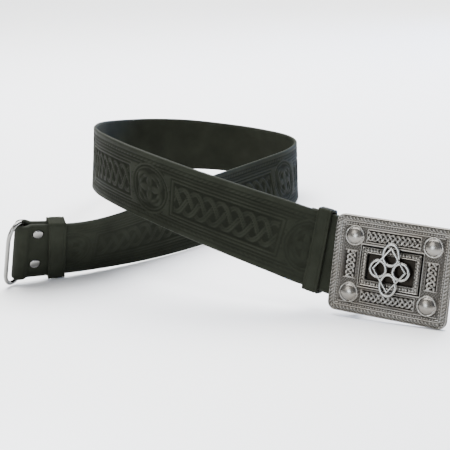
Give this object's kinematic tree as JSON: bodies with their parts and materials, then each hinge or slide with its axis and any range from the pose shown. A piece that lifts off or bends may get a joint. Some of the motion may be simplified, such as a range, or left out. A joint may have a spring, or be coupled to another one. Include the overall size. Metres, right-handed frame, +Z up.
{
  "type": "kilt belt",
  "caption": "Wide tooled leather kilt belt lying in a crossed loop, with a square relief-cast buckle on a bar and a wire ring in the riveted tail.",
  "frame": {"origin": "on the floor, under the middle of the bounding box of the belt as it lies", "axes": "+Z up; +X to the right in the view of the buckle's side; +Y away from that view, towards the far end of the loop"},
  "size_m": [0.3382, 0.507, 0.1128],
  "materials": {
    "leather": "black tooled leather with a soft sheen",
    "cast_metal": "silvery cast relief with dark recesses",
    "bright_metal": "polished silvery metal"
  },
  "bodies": {
    "strap": {"strap": "leather", "tail_keeper": "leather", "buckle_keeper": "leather", "upper_rivet": "bright_metal", "lower_rivet": "bright_metal"},
    "ring": {"ring": "bright_metal"},
    "buckle": {"buckle": "cast_metal", "buckle_badge": "bright_metal"}
  },
  "joints": [
    {"name": "ring_swing", "type": "hinge", "parent": "strap", "child": "ring", "pos_m": [-0.15422, -0.10876, 0.03174], "axis": [0.2139, -0.4119, 0.8858], "range_deg": [-180, 108]},
    {"name": "buckle_swing", "type": "hinge", "parent": "strap", "child": "buckle", "pos_m": [0.1077, -0.20482, 0.03621], "axis": [0.153, 0.155, 0.976], "range_deg": [-1, 150]}
  ]
}
